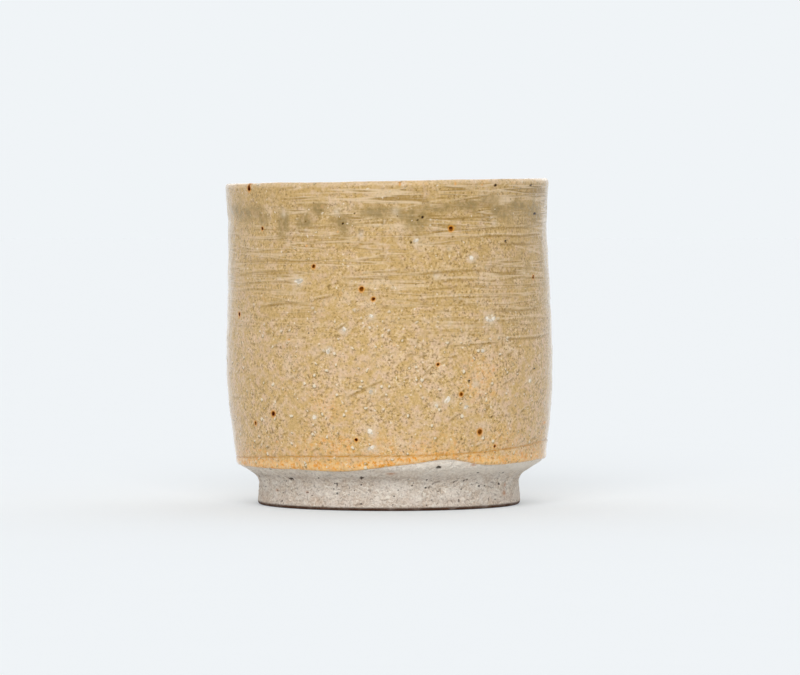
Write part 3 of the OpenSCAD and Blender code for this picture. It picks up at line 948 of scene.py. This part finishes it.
# Painted light and shade: the grit's colour contrast grows towards the right.
across = add(tree, "SeparateXYZ", Vector=where).outputs["X"]
grit_and_side_light = times(tree, grit_and_side_light, between(tree, across, -10 * mm, 30 * mm, 1.0, 1.2))
sandy = times(tree, grit_and_side_light, plus(tree, 1.0, given["Upper"], -0.25))
unburnt = times(tree, grit_and_side_light, plus(tree, 1.0, given["Flushed"], -0.6))
fewer = between(tree, given["Upper"], 0.1, 1.1, 1.0, 0.2)
tone = plus(tree, plus(tree, -2.6, cloud, 1.6), mottle, 4.4)
tone = plus(tree, tone, given["Upper"], -0.25, clamp=True)
colour = layered(tree, glaze_ochre, [
    (tone, glaze_cream),
    (times(tree, given["Upper"], 0.09), glaze_groove),
    (times(tree, given["Flushed"], between(tree, mottle, 0.35, 0.6, 1.0, 0.6)), glaze_orange),
    (times(tree, given["Flushed"], bright), glaze_bright),
    (times(tree, given["Pooled"], between(tree, mottle, 0.6, 0.42, 0.45, 1.0)), glaze_olive),
    (times(tree, smear, thin_there), glaze_smear),
    (times(tree, unburnt, between(tree, sand, 0.48, 0.33, end=0.8)), glaze_fleck_and_shadow),
    (times(tree, sandy, between(tree, sand, 0.53, 0.65, end=0.85), clamp=True), glaze_pale),
    (times(tree, flecks, times(tree, unburnt, 0.5)), glaze_fleck_and_shadow),
    (times(tree, orange_dots, plus(tree, 0.1, given["Flushed"], 0.8)), glaze_bright),
    (times(tree, given["Milky"], between(tree, mottle, 0.35, 0.6, 0.5, 0.95)), glaze_milk),
    (times(tree, ridge, 0.7), glaze_ridge),
    (times(tree, groove, 0.65), glaze_groove),
    (times(tree, pinholes, 0.8), glaze_fleck_and_shadow),
    (times(tree, bubbles, 0.7), glaze_groove),
    # Painted glints on the bubbles.
    (times(tree, glints, 0.8), glaze_white_and_glint),
    (times(tree, white_dust, plus(tree, 0.7, given["Flushed"], 0.2)), glaze_white_and_glint),
    # Painted shadow beside each white dot.
    (times(tree, dot_shades, times(tree, fewer, 0.75)), glaze_fleck_and_shadow),
    (times(tree, white_dots, times(tree, fewer, 0.9)), glaze_white_and_glint),
    (between(tree, given["Burst"], 0.02, 0.25, end=0.7), glaze_groove),
    (sums(tree, "MAXIMUM", times(tree, pits, 0.9), between(tree, given["Burst"], 0.15, 0.45)), glaze_pit),
    (between(tree, given["Rusted"], 0.04, 0.45, end=0.75), glaze_bright),
    (between(tree, given["Rusted"], 0.28, 0.65), glaze_rust),
])
height = plus(tree, times(tree, sand, 0.8), mottle, 0.5)
height = plus(tree, height, sums(tree, "SUBTRACT", pale_line, dark_line), 0.06)
height = plus(tree, height, white_dots, 0.12)
height = plus(tree, height, plus(tree, pits, pinholes, clamp=True), -0.15)
rust_matt, bubble_matt = between(tree, given["Rusted"], 0.06, 0.3), between(tree, given["Burst"], 0.1, 0.35)
gloss = plus(tree, glaze_gloss, sums(tree, "MAXIMUM", rust_matt, bubble_matt), -glaze_gloss, clamp=True)
roughness = between(tree, mottle, 0.3, 0.7, 0.32, 0.5)
for name, value in (("Colour", colour), ("Roughness", roughness), ("Height", height), ("Gloss", gloss)):
    tree.links.new(value, put_out[name])


def glazed(name, gloss, relief, edge_gloss):
    """A material with the ash glaze, which reads the piece's own marks and is glossier at the outline."""
    material, tree, shader = opaque(name, gloss)
    coat = tree.nodes.new("ShaderNodeGroup")
    coat.node_tree = ash_glaze
    for socket in glaze_marks:
        tree.links.new(trait(tree, socket.lower()), coat.inputs[socket])
    grazing = between(tree, add(tree, "LayerWeight").outputs["Facing"], 0.66, 0.86, end=edge_gloss)
    coat_weight = plus(tree, coat.outputs["Gloss"], grazing, clamp=True)
    tree.links.new(coat_weight, shader.inputs["Coat Weight"])
    shader.inputs["Sheen Weight"].default_value = 0.5
    shader.inputs["Sheen Roughness"].default_value = 0.13
    shader.inputs["Coat Roughness"].default_value = 0.15
    finish = [coat.outputs[socket] for socket in ("Colour", "Roughness", "Height")]
    surfaced(tree, shader, *finish, relief, glaze_relief_depth)
    return material


outer_glaze.data.materials.append(glazed("ash_glaze_outside", gloss=0.12, relief=0.9, edge_gloss=0.6))
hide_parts("outer_glaze")
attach(outer_glaze, "root")


# Inner glaze
# The same glaze poured round the inside. It runs down the wall over the throwing spiral, and lies
# thicker and more olive in the well.
spiral_pitch, spiral_height = 6.5 * mm, 0.10 * mm
runs_height, poured_fine_height = 0.07 * mm, 0.03 * mm
calm_radius = 4 * mm
inner_cover_depth, inner_cover_start, inner_cover_fade = 0.15 * mm, 72 * mm, 2 * mm
back_step, back_lift = 4, 0.08 * mm
well_depth = 7 * mm
inner_high_start, inner_high_rise = 30 * mm, 30 * mm


def poured(angle, along):
    """Height of the inner glaze over its mean thickness: the throwing spiral, broad runs and fine
    unevenness, by the distance along its outline."""
    return (
        spiral_height * np.cos(full_turn * along / spiral_pitch - angle)
        + runs_height * waves(angle, along, 11, 40, 4 * mm, 26 * mm)
        + poured_fine_height * waves(angle, along, 12, 60, 1.6 * mm, 5 * mm)
    )


inner_r, inner_h = [rows + level for rows in inside_outline(70, 28, 30)]
inner_lift = glaze_thick - inner_cover_depth * ramp(inner_h, inner_cover_start, inner_cover_fade)
inner_lift = inner_lift + ramp(inner_r, 0, calm_radius) * poured(around, inner_h - inner_r)
over = raised(inner_r, inner_h, inner_lift)
back = raised(inner_r[::-back_step], inner_h[::-back_step], back_lift)
inner_all_r, inner_all_h = joined(back, over)
inner_all_r[[0, -1]] = 0
inner_glaze = turned("inner_glaze_poured", inner_all_r, inner_all_h, ring=False)
well = 1 - ramp(inner_all_h, floor_height, well_depth)
well_cloud = waves(around, inner_all_h - inner_all_r, 14, 50, 3 * mm, 16 * mm)
unmarked = np.zeros_like(inner_all_h)
mark(
    inner_glaze,
    pooled=np.clip(0.75 * well * (1 + 0.4 * well_cloud), 0, 1),
    flushed=np.clip(0.12 * well_cloud, 0, 1),
    rusted=unmarked,
    dragged=unmarked,
    milky=unmarked,
    burst=unmarked,
    upper=0.7 * ramp(inner_all_h, inner_high_start, inner_high_rise),
)
inner_glaze.data.materials.append(glazed("ash_glaze_inside", gloss=0.25, relief=0.5, edge_gloss=0.3))
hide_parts("inner_glaze")
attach(inner_glaze, "root")


# Rim glaze
# A second coat that the lip was dipped in. It thins to nothing at its lower edges, runs pale over the
# lip, and gathered in olive blots under it.
second_coat_inside_low = 71 * mm
second_coat_thick = lip_coats_thick - glaze_thick
second_coat_sunk = 0.05 * mm
lip_relief = 0.06 * mm
inner_relief_limit = 0.05 * mm
rim_step, rim_under_lift = 3, 0.1 * mm
lip_thin_width = 0.25 * mm
lip_edge_inset = 0.3 * mm


def second_coat(height, edge, top):
    """Thickness over the first coat: from just under its surface at the edge, up to its full at the top."""
    return (second_coat_thick + second_coat_sunk) * ramp(height, edge, top - edge) ** 0.7 - second_coat_sunk


rim_edge = second_coat_edge(around)
rim_outside = rim_edge + (lip_start - rim_edge) * np.linspace(0, 1, 40)[:-1, None]
rim_inside = np.linspace(lip_inner_low, second_coat_inside_low, 20)[1:, None] + level
lip_flat = straight([rows[-1] for rows in lip_outer_bow], [rows[0] for rows in lip_inner_bow], 4)
rim_r, rim_h = joined(
    (wall_radius(rim_outside), rim_outside),
    *[[rows + level for rows in outline] for outline in (lip_outer_bow, lip_flat, lip_inner_bow)],
    (wall_radius(rim_inside) - wall_thick, rim_inside),
)
inward = ramp(lip_radius - rim_r, lip_edge_inset, wall_thick - 2 * lip_edge_inset)
inward[: len(rim_outside)] = 0
rim_relief = (
    np.clip(1 - 3 * inward, 0, 1) * glaze_relief(around, rim_h)
    + np.clip(3 * inward - 2, 0, 1) * poured(around, rim_h - rim_r)
    + np.clip(1.5 - np.abs(3 * inward - 1.5), 0, 1)
    * lip_relief * (waves(around, 0.0, 53, 40, 3 * mm, 60 * mm) - 1.4)
)
rim_coat = np.where(
    inward < 0.5,
    second_coat(rim_h, rim_edge, lip_start),
    second_coat(rim_h, second_coat_inside_low, lip_inner_low),
)
rim_lift = glaze_thick + rim_coat + np.minimum(rim_relief, inner_relief_limit * (inward > 0.9))
rim_under = raised(rim_r[::-rim_step], rim_h[::-rim_step], rim_under_lift)
rim_glaze = turned("rim_glaze_dipped", *joined(raised(rim_r, rim_h, rim_lift), rim_under), ring=True)
rim_all_h = np.concatenate([rim_h, rim_h[::-rim_step]])
outer_side = 1 - np.concatenate([inward, inward[::-rim_step]])
lip_thin = hump(np.maximum(lip_start + lip_thin_width - rim_all_h, 0), lip_thin_width)
lip_thin = lip_thin * hump(1 - outer_side, 0.9)
mark(
    rim_glaze,
    pooled=pooled(around, rim_all_h) * outer_side * (1 - lip_thin),
    flushed=0.35 * lip_thin * np.clip(waves(around, 0.0, 57, 40, 2 * mm, 14 * mm), 0, 1),
    rusted=rusted(around, rim_all_h) * np.clip(4 * outer_side - 3, 0, 1),
    dragged=np.clip(dragged(around, rim_all_h)[1] * outer_side + 0.5 * lip_thin, -1, 1),
    milky=milky(around, rim_all_h) * outer_side,
    burst=dotted(around, rim_all_h, burst_bubbles) * outer_side,
    upper=streaked * (1.6 - 1.3 * lip_thin),
)
rim_glaze.data.materials.append(glazed("rim_glaze", gloss=0.12, relief=0.9, edge_gloss=0.45))
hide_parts("rim_glaze")
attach(rim_glaze, "root")


# Feldspar stones
# White grains of feldspar from the clay, a millimetre or two across, that swelled in the fire and
# broke through the glaze. Each is an irregular milky lump.
def lumps(name, grains, seed, wide, deep, proud, lumpiness, rows, sides):
    """Lumps at the CAD grains' places: a sphere drawn out along the wall and flattened towards it,
    with seeded cosine waves over it. Sizes are shares of a grain's diameter; proud is a length."""
    random = np.random.default_rng(seed)
    turn = full_turn * np.arange(sides) / sides
    tilt = np.linspace(0, math.pi, rows + 2)[1:-1, None]
    ball = np.stack([np.sin(tilt) * np.cos(turn), np.sin(tilt) * np.sin(turn), np.cos(tilt) + 0 * turn])
    ring = np.arange(rows * sides).reshape(rows, sides)
    beside = np.roll(ring, -1, axis=1)
    quads = np.stack([ring[:-1], ring[1:], beside[1:], beside[:-1]], axis=-1).reshape(-1, 4)
    top, bottom = rows * sides, rows * sides + 1
    caps = np.concatenate([
        np.stack([np.full(sides, top), ring[0], beside[0]], axis=-1),
        np.stack([ring[-1], np.full(sides, bottom), beside[-1]], axis=-1),
    ])
    places, heights = grains[:, 0], grains[:, 1]
    coats = glaze_thick + np.maximum(second_coat(heights, second_coat_edge(places), lip_start), 0)
    surfaces = wall_radius(heights) + coats + glaze_relief(places, heights)
    points, faces = [], []
    for (place, middle, reach, width), surface in zip(grains, surfaces):
        swell = np.ones_like(ball[0])
        for _ in range(6):
            most, pull = random.uniform(0.3, 1), random.normal(0, 2.2, 3)
            swell += lumpiness / 2 * most * np.cos(np.tensordot(pull, ball, 1) + random.uniform(0, 6))
        drawn, spin = random.uniform(0.75, 1.15), random.uniform(0, math.pi)
        side, up = ball[0] * swell * width * wide * drawn, ball[1] * swell * width * wide / drawn
        side, up = side * math.cos(spin) - up * math.sin(spin), side * math.sin(spin) + up * math.cos(spin)
        out = ball[2] * swell * width * deep
        radius = min(surface + proud, reach) - out.max() + out
        lump = np.stack([side, up, radius], axis=-1).reshape(-1, 3)
        lump = np.concatenate([lump, [lump[:sides].mean(axis=0), lump[-sides:].mean(axis=0)]])
        x = lump[:, 2] * math.sin(place) + lump[:, 0] * math.cos(place)
        y = -lump[:, 2] * math.cos(place) + lump[:, 0] * math.sin(place)
        x, z = leaned(x, lump[:, 1] + middle)
        first = len(points) * len(lump)
        points.append(np.stack([x, y, z], axis=-1))
        faces += (quads + first).tolist() + (caps + first).tolist()
    return formed(name, np.concatenate(points), faces)


feldspar_stones = lumps(
    "feldspar_stones_broken", stones,
    seed=61, wide=0.48, deep=0.12, proud=0.09 * mm, lumpiness=0.4, rows=14, sides=22,
)
feldspar_milk = (0.87, 0.78, 0.65, 1)
feldspar_grey = (0.50, 0.42, 0.32, 1)
feldspar_tan = (0.58, 0.42, 0.24, 1)
feldspar_relief_depth = 0.3 * mm
feldspar, tree, shader = opaque("feldspar", gloss=0.4)
where = object_places(tree)
cloud = grain(tree, where, 900, detail=4.0)
colour = layered(tree, feldspar_grey, [
    (between(tree, cloud, 0.36, 0.56), feldspar_milk),
    (between(tree, grain(tree, where, 1500), 0.54, 0.68, end=0.7), feldspar_tan),
])
roughness = between(tree, cloud, 0.3, 0.7, 0.55, 0.35)
surfaced(tree, shader, colour, roughness, cloud, 0.6, feldspar_relief_depth)
feldspar_stones.data.materials.append(feldspar)
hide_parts("feldspar_stones")
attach(feldspar_stones, "root")


# Iron specks
# Grains of iron ore from the clay that melted and bled through the glaze: a dark red-brown bleb that
# lies almost flush in the ring of rust round it.
iron_specks = lumps(
    "iron_specks_melted", specks,
    seed=71, wide=0.43, deep=0.1, proud=0.06 * mm, lumpiness=0.3, rows=10, sides=18,
)
iron_black = (0.05, 0.006, 0.0, 1)
iron_brown = (0.19, 0.05, 0.0, 1)
iron_relief_depth = 0.2 * mm
iron, tree, shader = opaque("iron", gloss=0.05)
cloud = grain(tree, object_places(tree), 1300)
colour = layered(tree, iron_black, [(between(tree, cloud, 0.45, 0.7), iron_brown)])
roughness = between(tree, cloud, 0.3, 0.7, 0.7, 0.85)
surfaced(tree, shader, colour, roughness, cloud, 0.4, iron_relief_depth)
iron_specks.data.materials.append(iron)
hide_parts("iron_specks")
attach(iron_specks, "root")


# Floor, light and camera
# A pale seamless floor that fades into the same pale background, broad soft light from above and
# behind and from the front, and a long lens level with the lip.
floor_reach = 6.0
floor_pale = (0.875, 0.908, 0.933, 1)
floor_paler = (0.885, 0.918, 0.943, 1)
background = (0.871, 0.905, 0.93, 1)
lit_through = 0.28
floor_corners = floor_reach * np.array([(-1, -1, 0), (1, -1, 0), (1, 1, 0), (-1, 1, 0)])
floor = formed("floor", floor_corners, [(0, 1, 2, 3)])
paper, tree, shader = opaque("floor_paper", gloss=0.0)
colour = layered(tree, floor_pale, [(grain(tree, object_places(tree), 40), floor_paler)])
tree.links.new(colour, shader.inputs["Base Color"])
shader.inputs["Roughness"].default_value = 1.0


def looked_at(tree):
    """1 for the rays by which the camera sees, straight or in a reflection, and 0 for those that light."""
    ray = add(tree, "LightPath").outputs
    mirrored = plus(tree, ray["Is Glossy Ray"], ray["Is Transmission Ray"])
    return plus(tree, ray["Is Camera Ray"], mirrored, clamp=True)


glow = add(tree, "Emission", Color=background)
faint = add(tree, "MixShader", _0=times(tree, looked_at(tree), lit_through))
tree.links.new(shader.outputs["BSDF"], faint.inputs[1])
tree.links.new(glow.outputs["Emission"], faint.inputs[2])
tree.links.new(faint.outputs["Shader"], tree.nodes["Material Output"].inputs["Surface"])
floor.data.materials.append(paper)

studio_grey = (0.42, 0.42, 0.42, 1)
world = bpy.data.worlds.new("studio")
world.use_nodes = True
bpy.context.scene.world = world
tree = world.node_tree
sky = tree.nodes["Background"].inputs
sky["Strength"].default_value = 1.0
tree.links.new(layered(tree, studio_grey, [(looked_at(tree), background)]), sky["Color"])

# Lights: name, strength, spread and turn in degrees.
for lamp_name, strength, spread, turn in [
    ("light_above", 1.24, 90, (-38, 4, 0)),
    ("light_front", 1.62, 40, (60, 0, -4)),
]:
    lamp = bpy.data.lights.new(lamp_name, "SUN")
    lamp.energy = strength
    lamp.angle = math.radians(spread)
    light = bpy.data.objects.new(lamp_name, lamp)
    light.rotation_euler = [math.radians(angle) for angle in turn]
    bpy.context.scene.collection.objects.link(light)

camera_distance = 1.316
camera_height = cup_height
camera_aside = 2.7 * mm
aim_height = 40.6 * mm
lens_length = 242.2
lens = bpy.data.cameras.new("camera")
lens.lens = lens_length
lens.sensor_width = 36
lens.clip_end = 20
camera = bpy.data.objects.new("camera", lens)
camera.location = (camera_aside, -camera_distance, camera_height)
drop = math.atan2(camera_height - aim_height, camera_distance)
camera.rotation_euler = (math.pi / 2 - drop, 0, 0)
bpy.context.scene.collection.objects.link(camera)
bpy.context.scene.camera = camera
bpy.context.scene.view_settings.view_transform = "Standard"
